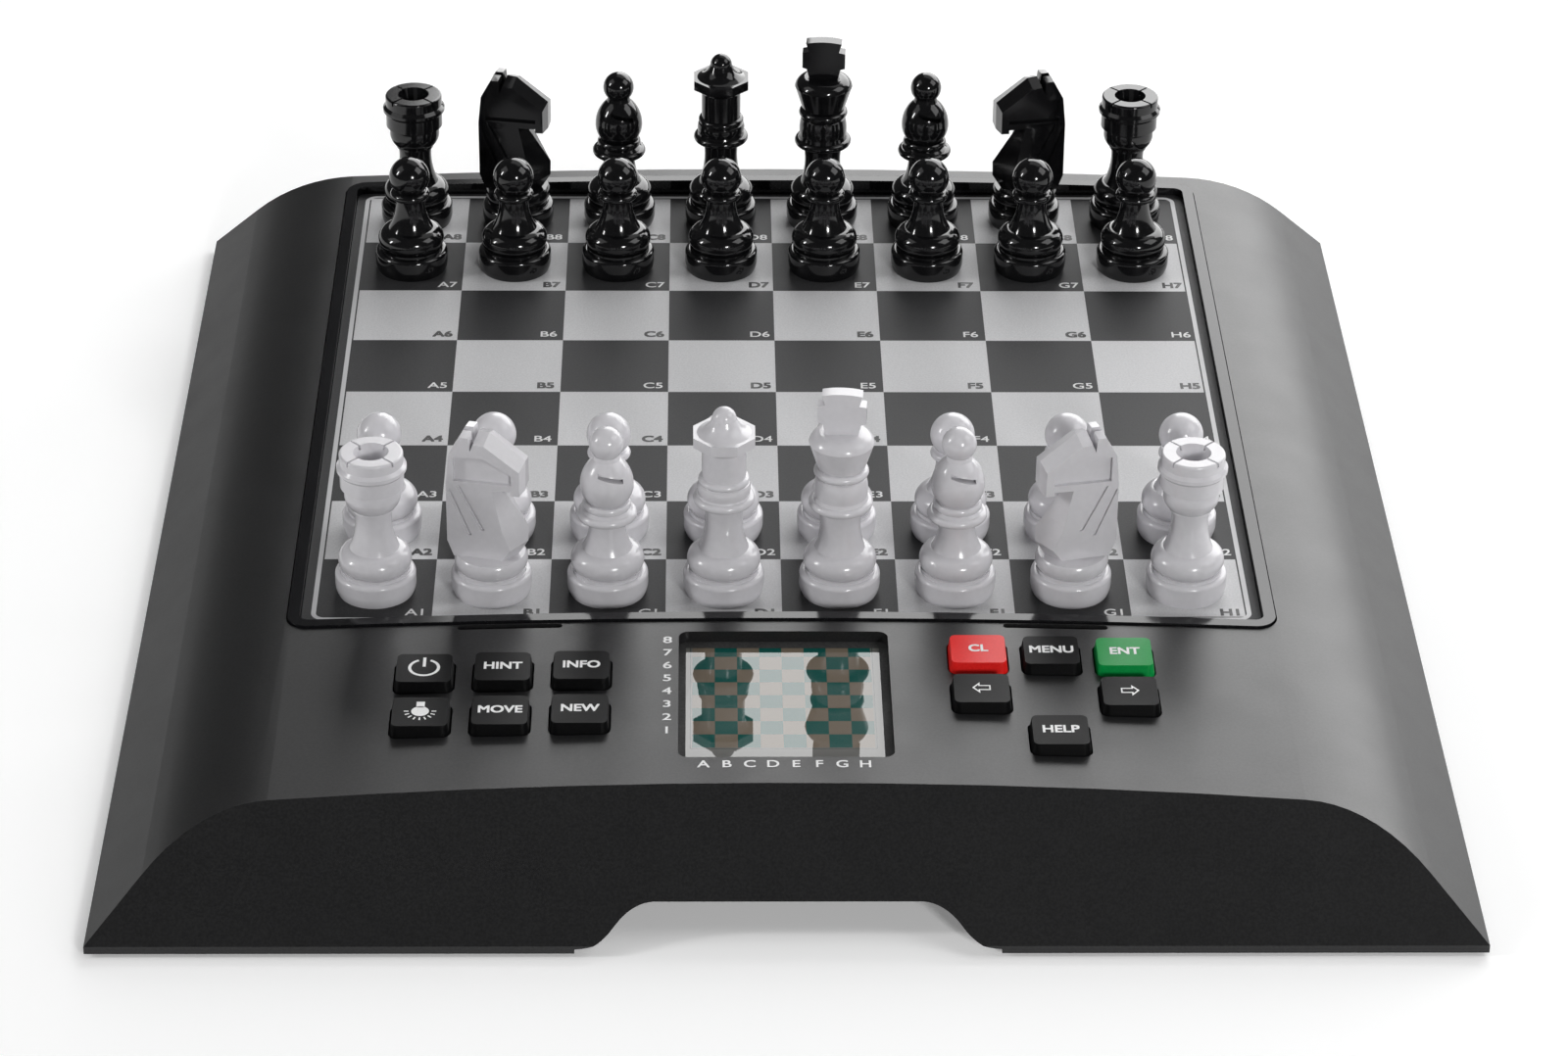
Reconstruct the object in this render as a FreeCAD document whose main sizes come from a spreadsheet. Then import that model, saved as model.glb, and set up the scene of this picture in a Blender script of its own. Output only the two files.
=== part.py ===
import FreeCAD, Part
import Sketcher
import math
import os
import re

# Electronic chess computer with its set of chess pieces, in millimetres.
# X runs to the right, Y to the back and Z up. The origin is on the table, under the middle of the casing.

SIZES = {
    # playing surface
    "square": 23.2,
    "board_height": 18.4,
    "board_to_rear": 100.9,
    "sheet_thickness": 0.8,
    "sensor_thickness": 1.6,
    # casing
    "case_width": 259.6,
    "case_depth": 282.0,
    "crown_height": 21.6,
    "crown_radius": 2300.0,
    "crown_half_width": 97.0,
    "shoulder_radius": 38.0,
    "front_slope": 37.0,
    "shell_wall": 2.2,
    "shell_band": 0.7,
    "base_band": 0.9,
    "base_floor": 1.8,
    "foot_height": 0.8,
    "foot_radius": 5.0,
    "foot_inset": 24.0,
    "fit_gap": 0.3,
    "overrun": 5.0,
    "panel_depth": 57.62,
    "glue_gap": 0.1,
    # frame round the board
    "recess_width": 191.2,
    "recess_depth": 189.8,
    "recess_shift": 0.7,
    "recess_corner": 2.0,
    "rim_width": 2.4,
    "rim_proud": 0.5,
    "rim_corner": 4.4,
    "frame_flange": 1.5,
    "frame_flange_height": 1.5,
    "frame_bottom": 15.4,
    # display
    "window_width": 41.0,
    "window_depth": 44.6,
    "window_corner": 2.0,
    "window_margin": 2.0,
    "window_thickness": 1.5,
    "window_sunk": 2.5,
    "display_clearance": 2.2,
    "panel_thickness": 2.8,
    # keys
    "key_width": 11.4,
    "key_depth": 10.8,
    "key_corner": 1.6,
    "key_taper": 9.0,
    "key_proud": 2.35,
    "key_flange": 0.8,
    "key_flange_height": 1.0,
    "key_travel": 1.0,
    "left_keys_x": 54.5,
    "left_keys_to_rim": 27.4,
    "left_key_pitch_x": 15.2,
    "left_key_pitch_y": 15.5,
    "right_keys_x": 52.1,
    "right_keys_to_rim": 28.0,
    "right_key_pitch_x": 14.3,
    "right_key_pitch_y": 14.15,
    # sound slots
    "slot_length": 20.7,
    "slot_width": 1.5,
    "slot_x": 53.8,
    "slot_to_rim": 1.5,
    "slot_corner": 0.68,
    # hand notch in the front edge
    "notch_top": 7.6,
    "notch_top_half": 25.0,
    "notch_foot_half": 39.5,
    "notch_length": 24.0,
    "notch_wall": 1.5,
    "notch_bend": 40.0,
    # inside
    "circuit_width": 170.0,
    "circuit_depth": 45.0,
    "circuit_height": 11.4,
    "circuit_thickness": 1.6,
    "circuit_to_rim": 27.5,
    "chip_size": 12.0,
    "chip_height": 2.0,
    "mat_thickness": 1.0,
    "mat_margin": 2.0,
    "dome_radius": 3.6,
    "ribbon_width": 11.0,
    "ribbon_x": 78.5,
    "ribbon_thickness": 0.3,
    "ribbon_plug": 5.0,
    "ribbon_reach": 8.0,
    "ribbon_plug_height": 2.0,
    "buzzer_radius": 10.0,
    "buzzer_height": 4.0,
    "buzzer_inset": 41.8,
    "buzzer_to_front": 63.1,
    "cell_radius": 5.25,
    "cell_length": 44.5,
    "cell_gap": 0.6,
    "contact_plate": 0.5,
    "contact_width": 8.4,
    "contact_spring": 2.4,
    "spring_root_radius": 3.7,
    "spring_tip_radius": 1.8,
    "bay_wall": 1.5,
    "bay_to_board": 30.0,
    "door_gap": 0.35,
    "door_lip": 2.0,
    "door_corner": 2.0,
    "tongue_width": 7.4,
    "post_radius": 3.0,
    "post_squares": 3.4,
    "screw_radius": 1.25,
    "screw_head_radius": 2.6,
    "screw_head_height": 1.4,
    "screw_length": 9.0,
    "screw_gap": 0.05,
    "boss_radius": 3.4,
    "boss_step": 2.0,
    "screw_x": 102.0,
    "screw_rear": 24.0,
    "screw_front": 40.0,
    # chess pieces
    "base_radius": 8.1,
    "base_foot_radius": 7.6,
    "base_height": 5.0,
    "bulb_ring_radius": 7.0,
    "bulb_ring_height": 0.7,
    "bulb_root_radius": 6.6,
    "stem_root_radius": 5.0,
    "stem_root": 10.2,
    "bead_radius": 0.9,
    "pawn_stem_radius": 3.2,
    "pawn_collar_radius": 4.4,
    "pawn_collar": 18.4,
    "pawn_head_radius": 4.5,
    "pawn_head": 22.6,
    "rook_stem_radius": 3.8,
    "rook_neck": 19.4,
    "rook_neck_lip": 0.4,
    "rook_cushion_radius": 5.6,
    "rook_cushion": 22.0,
    "rook_cushion_top_radius": 5.2,
    "rook_step_radius": 6.35,
    "rook_step": 24.4,
    "rook_flange_radius": 6.95,
    "rook_flange": 28.8,
    "rook_flange_rise": 0.7,
    "rook_top_radius": 6.35,
    "rook_height": 31.8,
    "rook_well_radius": 3.5,
    "rook_well_foot_radius": 2.1,
    "rook_well_depth": 6.0,
    "rook_slit": 0.5,
    "rook_slit_depth": 1.0,
    "bishop_stem_radius": 3.6,
    "bishop_collar_radius": 6.0,
    "bishop_collar": 18.0,
    "bishop_ring_radius": 4.5,
    "bishop_ring": 19.4,
    "bishop_ring_height": 1.6,
    "bishop_head_root_radius": 4.0,
    "bishop_head_radius": 5.3,
    "bishop_head": 25.2,
    "bishop_neck_radius": 2.7,
    "bishop_neck": 30.4,
    "bishop_ball_radius": 3.45,
    "bishop_ball": 33.7,
    "bishop_slit": 0.9,
    "bishop_slit_low": 26.6,
    "bishop_slit_high": 28.0,
    "bishop_slit_half": 2.5,
    "queen_stem_radius": 4.05,
    "queen_collar_radius": 6.15,
    "queen_collar": 21.5,
    "queen_band_radius": 5.1,
    "queen_band": 22.8,
    "queen_band_height": 2.2,
    "queen_ring_radius": 4.8,
    "queen_ring": 25.2,
    "queen_ring_height": 1.2,
    "queen_column_radius": 4.4,
    "queen_column": 26.6,
    "queen_crown_root_radius": 5.4,
    "queen_crown_radius": 6.6,
    "queen_crown": 34.1,
    "queen_crown_flare": 1.4,
    "queen_crown_height": 2.2,
    "queen_finial_root_radius": 2.9,
    "queen_finial_radius": 2.45,
    "queen_finial": 38.4,
    "queen_height": 41.8,
    "king_stem_radius": 4.4,
    "king_collar_radius": 6.4,
    "king_collar": 20.6,
    "king_band_radius": 5.3,
    "king_band": 22.3,
    "king_band_top_radius": 5.0,
    "king_bead_radius": 5.5,
    "king_bead": 27.7,
    "king_bead_gap": 1.3,
    "king_cup_root_radius": 4.85,
    "king_cup_radius": 6.5,
    "king_cup": 34.3,
    "king_cup_top_radius": 3.6,
    "king_cross_root": 36.4,
    "king_cross_root_half": 3.2,
    "king_cross_arm": 40.9,
    "king_cross_arm_rise": 1.8,
    "king_cross_half": 4.8,
    "king_cross_notch": 0.3,
    "king_cross_low_half": 3.8,
    "king_cross_neck_half": 3.4,
    "king_cross_top_half": 4.0,
    "king_cross_thickness": 3.0,
    "king_height": 45.4,
    "knight_thickness": 7.0,
    "knight_height": 36.6,
    "knight_sink": 1.0,
    "knight_panel_sunk": 1.2,
    "knight_groove": 0.9,
    "knight_groove_depth": 0.5,
    "knight_ear_gap": 1.8,
    "knight_ear_depth": 4.0,
    "knight_ear_front": 1.3,
    "stem_gap": 0.6,
}

Vector = FreeCAD.Vector
doc = FreeCAD.newDocument("chess_computer")
sheet = doc.addObject("Spreadsheet::Sheet", "dims")
for row, (alias, value) in enumerate(SIZES.items(), start=1):
    sheet.set("A%d" % row, alias)
    sheet.set("B%d" % row, repr(value))
    sheet.setAlias("B%d" % row, alias)
doc.recompute()

sub_parts = []

HALF_TURN_SHARE = math.sqrt(0.5)

# Levels and places that several pieces share, worked out from the driving sizes.
BOARD_Y = "(case_depth / 2 - board_to_rear)"
FLOOR_LEVEL = "(foot_height + base_floor)"
SEAM_LEVEL = "(foot_height + base_band)"
EDGE_LEVEL = "(foot_height + base_band + shell_band)"
SENSOR_BOTTOM = "(board_height - sheet_thickness - sensor_thickness)"
CIRCUIT_TOP = "(circuit_height + circuit_thickness)"
WINDOW_TOP = "(crown_height - window_sunk)"
DOOR_TOP = "(foot_height + base_floor)"
CELL_Z = "(foot_height + base_floor + cell_gap + cell_radius)"
BAY_LENGTH = "(cell_length + 2 * (contact_plate + contact_spring))"
BAY_WIDTH = "(6 * cell_radius + 4 * cell_gap)"
BAY_ROOF = "(foot_height + base_floor + 2 * cell_gap + 2 * cell_radius)"
BAY_Y = "(case_depth / 2 - board_to_rear + bay_to_board)"
OUTER_KEY_EDGE = "(left_keys_x + left_key_pitch_x + key_width / 2 + key_flange)"
BOSS_SEAM = "(foot_height + base_floor + boss_step)"

# The flat panel in front of the board, and how deep it is against the depth its keys were laid out for.
PANEL_REAR = "(%s - recess_shift - recess_depth / 2 - rim_width)" % BOARD_Y
PANEL_FRONT = "(-case_depth / 2 + (crown_height - %s) / tan(front_slope))" % EDGE_LEVEL
PANEL_SHARE = "((%s - %s) / panel_depth)" % (PANEL_REAR, PANEL_FRONT)
CIRCUIT_Y = "(%s - circuit_to_rim * %s)" % (PANEL_REAR, PANEL_SHARE)
KEY_DEPTH = "(key_depth * %s)" % PANEL_SHARE
WINDOW_DEPTH = "(window_depth * %s)" % PANEL_SHARE
DISPLAY_Y = "(%s - display_clearance - window_margin - %s / 2)" % (PANEL_REAR, WINDOW_DEPTH)
CIRCUIT_DEPTH = "(circuit_depth * %s)" % PANEL_SHARE
DOME_RADIUS = "(dome_radius * %s)" % PANEL_SHARE


def formula(text):
    """The text of a size as an expression on the sheet's cells."""
    def cell(found):
        word = found.group()
        return "dims." + word if word in SIZES else word
    return re.sub(r"[A-Za-z_]+", cell, str(text))


def number(text):
    return float(sheet.evalExpression(formula(text)))


def bind(item, name, text):
    item.setExpression(name, formula(text))


def place(item, x="0", y="0", z="0"):
    for axis, text in zip("xyz", (x, y, z)):
        bind(item, "Placement.Base." + axis, text)
    return item


def finished(item, label):
    item.Label = label
    sub_parts.append(item)
    return item


def block(name, length, width, height, x="0", y="0", z="0"):
    """A box centred on x and y, standing on z."""
    item = doc.addObject("Part::Box", name)
    bind(item, "Length", length)
    bind(item, "Width", width)
    bind(item, "Height", height)
    return place(item, "%s - (%s) / 2" % (x, length), "%s - (%s) / 2" % (y, width), z)


def rod(name, radius, height, x="0", y="0", z="0"):
    item = doc.addObject("Part::Cylinder", name)
    bind(item, "Radius", radius)
    bind(item, "Height", height)
    return place(item, x, y, z)


def fuse(name, items):
    item = doc.addObject("Part::MultiFuse", name)
    item.Shapes = items
    item.Refine = True
    return item


def common(name, items):
    item = doc.addObject("Part::MultiCommon", name)
    item.Shapes = items
    return item


def cut(name, base, tools):
    item = doc.addObject("Part::Cut", name)
    item.Base = base
    item.Tool = tools[0] if len(tools) == 1 else fuse(name + "_tools", tools)
    return item


def group(name, items):
    """Separate solids that share one node."""
    item = doc.addObject("Part::Compound", name)
    item.Links = items
    return item


def arc_between(start, end, bulge):
    """An arc whose bulge is the tangent of a quarter of its angle, to the right of its direction."""
    chord = end - start
    side = Vector(-chord.y, chord.x, 0)
    centre = (start + end) * 0.5 + side * ((1 - bulge * bulge) / (4 * bulge))
    first, last = (start, end) if bulge > 0 else (end, start)
    angles = [math.atan2(point.y - centre.y, point.x - centre.x) for point in (first, last)]
    circle = Part.Circle(centre, Vector(0, 0, 1), (start - centre).Length)
    return Part.ArcOfCircle(circle, angles[0], angles[1])


def trace(sketch, corners):
    """A closed outline through corners of (x, y, bulge of the side that follows), bound to the sheet."""
    points = [Vector(number(x), number(y), 0) for x, y, bulge in corners]
    ends = []
    for index, (x, y, bulge) in enumerate(corners):
        start, end = points[index], points[(index + 1) % len(points)]
        if bulge:
            geometry = sketch.addGeometry(arc_between(start, end, bulge), False)
        else:
            geometry = sketch.addGeometry(Part.LineSegment(start, end), False)
        ends.append((geometry, 1, 2) if bulge >= 0 else (geometry, 2, 1))
    for index, (geometry, first, last) in enumerate(ends):
        following = ends[(index + 1) % len(ends)]
        sketch.addConstraint(Sketcher.Constraint("Coincident", geometry, last, following[0], following[1]))
    for index, (geometry, first, last) in enumerate(ends):
        ends_on_axis = corners[(index + 1) % len(corners)][0] == "0"
        if corners[index][2] and ends_on_axis:
            sketch.addConstraint(Sketcher.Constraint("PointOnObject", geometry, 3, -2))
    for (geometry, first, last), (x, y, bulge), point in zip(ends, corners, points):
        for kind, text, value in (("DistanceX", x, point.x), ("DistanceY", y, point.y)):
            if text == "0":
                axis = -2 if kind == "DistanceX" else -1
                sketch.addConstraint(Sketcher.Constraint("PointOnObject", geometry, first, axis))
                continue
            limit = sketch.addConstraint(Sketcher.Constraint(kind, -1, 1, geometry, first, value))
            sketch.setExpression("Constraints[%d]" % limit, formula(text))
    return sketch


def rounded(width, depth, corner):
    """Corners of a rounded rectangle about the origin."""
    quarter = math.tan(math.pi / 8)
    half_x, half_y = "(%s) / 2" % width, "(%s) / 2" % depth
    in_x, in_y = "%s - (%s)" % (half_x, corner), "%s - (%s)" % (half_y, corner)
    return [("-(%s)" % in_x, "-(%s)" % half_y, 0), (in_x, "-(%s)" % half_y, quarter),
            (half_x, "-(%s)" % in_y, 0), (half_x, in_y, quarter),
            (in_x, half_y, 0), ("-(%s)" % in_x, half_y, quarter),
            ("-(%s)" % half_x, in_y, 0), ("-(%s)" % half_x, "-(%s)" % in_y, quarter)]


TURNS = {"XY": FreeCAD.Rotation(), "XZ": FreeCAD.Rotation(Vector(1, 0, 0), 90),
         "YZ": FreeCAD.Rotation(Vector(1, 1, 1), 120)}


def prism(name, plane, corners, length, x="0", y="0", z="0", both_ways=False):
    """An outline in a plane, pushed along that plane's normal."""
    sketch = trace(doc.addObject("Sketcher::SketchObject", name + "_outline"), corners)
    sketch.Placement = FreeCAD.Placement(Vector(), TURNS[plane])
    place(sketch, x, y, z)
    item = doc.addObject("Part::Extrusion", name)
    item.Base = sketch
    item.DirMode = "Normal"
    item.Solid = True
    item.Symmetric = both_ways
    bind(item, "LengthFwd", length)
    return item


def arch_corners(inset, foot):
    """Cross section of the casing, moved inwards by inset: crown, shoulders and straight side slopes."""
    drop = number(inset)
    crown_radius, shoulder_radius = number("crown_radius"), number("shoulder_radius")
    crown_centre = Vector(0, number("crown_height") - crown_radius, 0)
    lean = math.asin(number("crown_half_width") / crown_radius)
    outward = Vector(math.sin(lean), math.cos(lean), 0)
    shoulder_centre = crown_centre + outward * (crown_radius - shoulder_radius)
    edge = Vector(number("case_width") / 2, number(EDGE_LEVEL), 0)
    reach = edge - shoulder_centre
    normal_angle = math.atan2(reach.y, reach.x) + math.acos(shoulder_radius / reach.Length)
    normal = Vector(math.cos(normal_angle), math.sin(normal_angle), 0)
    shoulder_start = crown_centre + outward * (crown_radius - drop)
    shoulder_end = shoulder_centre + normal * (shoulder_radius - drop)
    slope = Vector(normal.y, -normal.x, 0)
    foot_level = number(foot)
    run_level = max(foot_level, edge.y) if drop == 0 else foot_level
    side_end = shoulder_end + slope * ((run_level - shoulder_end.y) / slope.y)
    turn = normal_angle - (math.pi / 2 - lean)
    shoulder_bulge, crown_bulge = math.tan(-turn / 4), math.tan(lean / 2)
    right = [(side_end.x, run_level, 0), (shoulder_end.x, shoulder_end.y, shoulder_bulge),
             (shoulder_start.x, shoulder_start.y, crown_bulge)]
    left = [(-shoulder_start.x, shoulder_start.y, shoulder_bulge), (-shoulder_end.x, shoulder_end.y, 0),
            (-side_end.x, run_level, 0)]
    ring = right + left
    if run_level > foot_level:
        ring = [(side_end.x, foot_level, 0)] + ring + [(-side_end.x, foot_level, 0)]
    return [(repr(x), repr(y), bulge) for x, y, bulge in ring]


def side_corners(inset, foot):
    """Lengthwise outline of the casing: upright rear, leaning front, open above the crown."""
    rear = "case_depth / 2 - (%s)" % inset
    lean = "(%s) / sin(front_slope)" % inset
    front = "-case_depth / 2 + %s" % lean
    above = "crown_height + overrun"
    climb = "(%s - %s) / tan(front_slope)" % (above, EDGE_LEVEL)
    if number(inset) == 0:
        return [(front, foot, 0), (rear, foot, 0), (rear, above, 0),
                ("%s + %s" % (front, climb), above, 0), (front, EDGE_LEVEL, 0)]
    fall = "(%s - %s) / tan(front_slope)" % (EDGE_LEVEL, foot)
    return [("%s - %s" % (front, fall), foot, 0), (rear, foot, 0), (rear, above, 0),
            ("%s + %s" % (front, climb), above, 0)]


def casing_form(name, inset, foot):
    """The casing's outer form, or the room inside it when inset is the wall."""
    across = prism(name + "_arch", "XZ", arch_corners(inset, foot), "case_depth + 4 * overrun",
                   both_ways=True)
    along = prism(name + "_side", "YZ", side_corners(inset, foot), "case_width + 4 * overrun",
                  both_ways=True)
    return common(name, [across, along])


def crown_at(x):
    """Height of the casing's crown at a distance from its middle line."""
    return "(crown_height - (%s) * (%s) / (2 * crown_radius))" % (x, x)


def key_seat(outer_edge):
    """Level of a key's flange, just under the shell at the key's outer edge."""
    return "(%s - shell_wall - fit_gap)" % crown_at(outer_edge)


def frame_ring(name, width, depth, corner, height, z):
    return prism(name, "XY", rounded(width, depth, corner), height,
                 y="%s - recess_shift" % BOARD_Y, z=z)


def key_places():
    """Names and centres of the keys: a block of six on the left and a diamond of six on the right."""
    left = [("power", -1, 1), ("hint", 0, 1), ("info", 1, 1),
            ("light", -1, -1), ("move", 0, -1), ("new", 1, -1)]
    right = [("clear", -1, 1), ("menu", 0, 1), ("enter", 1, 1),
             ("back", -1, 0), ("forward", 1, 0), ("help", 0, -1)]
    for name, column, line in left:
        yield (name, "(-left_keys_x + %d * left_key_pitch_x)" % column,
               "(%s - %s * (left_keys_to_rim - %g * left_key_pitch_y))" % (PANEL_REAR, PANEL_SHARE, line / 2))
    for name, column, line in right:
        yield (name, "(right_keys_x + %d * right_key_pitch_x)" % column,
               "(%s - %s * (right_keys_to_rim - %d * right_key_pitch_y))" % (PANEL_REAR, PANEL_SHARE, line))


def screw_places():
    for sign in (-1, 1):
        yield "(%d * screw_x)" % sign, "(case_depth / 2 - screw_rear)"
        yield "(%d * screw_x)" % sign, "(-case_depth / 2 + screw_front)"


def make_top_shell():
    outer = casing_form("shell_outer", "0", SEAM_LEVEL)
    room = casing_form("shell_room", "shell_wall", "0")
    skin = cut("shell_skin", outer, [room])
    well_outline = rounded("window_width + 2 * window_margin", "%s + 2 * window_margin" % WINDOW_DEPTH,
                           "window_corner + window_margin")
    well = prism("display_well", "XY", well_outline, "crown_height - %s - shell_wall / 2" % WINDOW_TOP,
                 y=DISPLAY_Y, z=WINDOW_TOP)
    bosses = [rod("shell_boss", "boss_radius", "crown_height", x, y, BOSS_SEAM) for x, y in screw_places()]
    boss_limit = casing_form("boss_limit", "shell_wall / 2", "0")
    inner_parts = common("shell_bosses", [fuse("shell_boss_group", bosses), boss_limit])
    solid = fuse("shell_solid", [skin, well, inner_parts])
    tools = [frame_ring("board_opening", "recess_width + 2 * (rim_width + fit_gap)",
                        "recess_depth + 2 * (rim_width + fit_gap)", "rim_corner + fit_gap", "crown_height",
                        EDGE_LEVEL)]
    tools.append(prism("display_opening", "XY", rounded("window_width", WINDOW_DEPTH, "window_corner"),
                       "crown_height", y=DISPLAY_Y, z=EDGE_LEVEL))
    key_hole = rounded("key_width + 2 * fit_gap", "%s + 2 * fit_gap" % KEY_DEPTH, "key_corner + fit_gap")
    for name, x, y in key_places():
        tools.append(prism("key_hole_" + name, "XY", key_hole, "crown_height", x, y, EDGE_LEVEL))
    slot_y = "%s - slot_to_rim * %s" % (PANEL_REAR, PANEL_SHARE)
    for sign in (-1, 1):
        tools.append(prism("sound_slot", "XY", rounded("slot_length", "slot_width", "slot_corner"),
                           "crown_height", "%d * slot_x" % sign, slot_y, EDGE_LEVEL))
    tools.append(notch_form("shell_notch", "0"))
    for x, y in screw_places():
        tools.append(rod("screw_bore", "screw_radius + screw_gap", "screw_length", x, y, FLOOR_LEVEL))
    finished(cut("top_shell", solid, tools), "top_shell")


def notch_form(name, grow):
    """The hand notch, or its lining's outside when grown: flat top and two S-shaped ends."""
    bend = math.tan(math.radians(number("notch_bend")) / 4)
    top = "notch_top + (%s)" % grow
    top_half, foot_half = "notch_top_half + (%s)" % grow, "notch_foot_half + (%s)" % grow
    middle_x, middle_z = "(%s + %s) / 2" % (top_half, foot_half), "(%s + %s) / 2" % (top, SEAM_LEVEL)
    corners = [(foot_half, "0", 0), (foot_half, SEAM_LEVEL, -bend), (middle_x, middle_z, bend),
               (top_half, top, 0), ("-(%s)" % top_half, top, bend), ("-(%s)" % middle_x, middle_z, -bend),
               ("-(%s)" % foot_half, SEAM_LEVEL, 0), ("-(%s)" % foot_half, "0", 0)]
    return prism(name, "XZ", corners, "notch_length + (%s) + overrun" % grow,
                 y="-case_depth / 2 + notch_length + (%s)" % grow)


def door_corners(gap):
    return rounded("%s + 2 * bay_wall - 2 * (%s)" % (BAY_LENGTH, gap), "%s - 2 * (%s)" % (BAY_WIDTH, gap),
                   "door_corner")


def make_bottom_shell():
    plate = block("base_plate", "case_width", "case_depth", "base_band", z="foot_height")
    limit = casing_form("base_limit", "shell_wall + fit_gap", "0")
    spigot = block("base_spigot", "case_width", "case_depth", "base_floor - base_band", z=SEAM_LEVEL)
    lining = notch_form("notch_lining", "notch_wall")
    bay = block("battery_bay", "%s + 4 * bay_wall" % BAY_LENGTH, "%s + 2 * bay_wall" % BAY_WIDTH,
                "%s + bay_wall - foot_height" % BAY_ROOF, y=BAY_Y, z="foot_height")
    raised = [spigot, bay]
    for sign_x in (-1, 1):
        for sign_y in (-1, 1):
            post_y = "%s + %d * (%s / 2 - post_radius)" % (CIRCUIT_Y, sign_y, CIRCUIT_DEPTH)
            raised.append(rod("circuit_post", "post_radius", "circuit_height - foot_height",
                              "%d * (circuit_width / 2 - post_radius)" % sign_x, post_y, "foot_height"))
        for step in (-1, 0, 1):
            raised.append(rod("board_post", "post_radius", "%s - foot_height" % SENSOR_BOTTOM,
                              "%d * post_squares * square" % sign_x,
                              "%s + %d * post_squares * square" % (BOARD_Y, step), "foot_height"))
    for x, y in screw_places():
        raised.append(rod("base_boss", "boss_radius", "%s - foot_height" % BOSS_SEAM, x, y, "foot_height"))
    band = block("lining_band", "case_width", "case_depth", "crown_height", z=SEAM_LEVEL)
    lined = common("notch_lined", [lining, band])
    inside = common("base_inside", [fuse("base_raised", raised + [lined]), limit])
    solid = fuse("base_solid", [plate, inside])
    bay_room = block("bay_room", BAY_LENGTH, BAY_WIDTH, "%s - foot_height + overrun" % BAY_ROOF, y=BAY_Y,
                     z="foot_height - overrun")
    door_room = prism("door_room", "XY", door_corners("0"), "base_floor + overrun", y=BAY_Y,
                      z="foot_height - overrun")
    tongue_room = block("tongue_room", "cell_length", "door_lip + 2 * door_gap", "2 * door_lip + base_floor",
                        y="%s + %s / 2 + door_lip / 2" % (BAY_Y, BAY_WIDTH), z=DOOR_TOP)
    tools = [bay_room, door_room, tongue_room, notch_form("base_notch", "0")]
    for x, y in screw_places():
        tools.append(rod("screw_way", "screw_radius + 3 * screw_gap", "screw_length", x, y, "0"))
        tools.append(rod("screw_seat", "screw_head_radius + fit_gap", "screw_head_height + overrun", x, y,
                         "foot_height - overrun"))
    finished(cut("bottom_shell", solid, tools), "bottom_shell")


def make_battery_door():
    """Lid with two tongues over the rear edge of its opening."""
    lid = prism("door_lid", "XY", door_corners("door_gap"), "base_floor", y=BAY_Y, z="foot_height")
    pieces = [lid]
    rear = "(%s + %s / 2)" % (BAY_Y, BAY_WIDTH)
    for sign in (-1, 1):
        pieces.append(block("door_tongue", "tongue_width", "2 * door_lip", "door_lip / 2",
                            "%d * cell_length / 4" % sign, "%s - door_lip / 2" % rear, DOOR_TOP))
    finished(fuse("battery_door", pieces), "battery_door")


def make_board():
    ring = frame_ring("frame_outer", "recess_width + 2 * rim_width", "recess_depth + 2 * rim_width",
                      "rim_corner", "crown_height + rim_proud", "frame_bottom")
    flange = frame_ring("frame_foot", "recess_width + 2 * (rim_width + frame_flange)",
                        "recess_depth + 2 * (rim_width + frame_flange)", "rim_corner + frame_flange",
                        "frame_flange_height", "frame_bottom")
    limit = prism("frame_crown", "XZ", arch_corners("-rim_proud", "0"), "case_depth", both_ways=True)
    hole = frame_ring("frame_hole", "recess_width", "recess_depth", "recess_corner", "crown_height * 2", "0")
    body = cut("frame_body", fuse("frame_blank", [ring, flange]), [hole])
    finished(common("board_frame", [body, limit]), "board_frame")
    finished(frame_ring("board_sheet", "recess_width - 2 * glue_gap", "recess_depth - 2 * glue_gap",
                        "recess_corner - glue_gap", "sheet_thickness", "board_height - sheet_thickness"),
             "board_sheet")
    finished(frame_ring("sensor_board", "recess_width - 2 * fit_gap", "recess_depth - 2 * fit_gap",
                        "recess_corner - fit_gap", "sensor_thickness", SENSOR_BOTTOM), "sensor_board")


def make_display():
    width = "window_width + 2 * window_margin"
    depth = "%s + 2 * window_margin" % WINDOW_DEPTH
    finished(prism("lcd_window", "XY", rounded(width, depth, "window_corner"), "window_thickness",
                   y=DISPLAY_Y, z="%s - window_thickness" % WINDOW_TOP), "lcd_window")
    finished(block("lcd_panel", width, depth, "panel_thickness", y=DISPLAY_Y,
                   z="%s - window_thickness - panel_thickness" % WINDOW_TOP), "lcd_panel")


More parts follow.
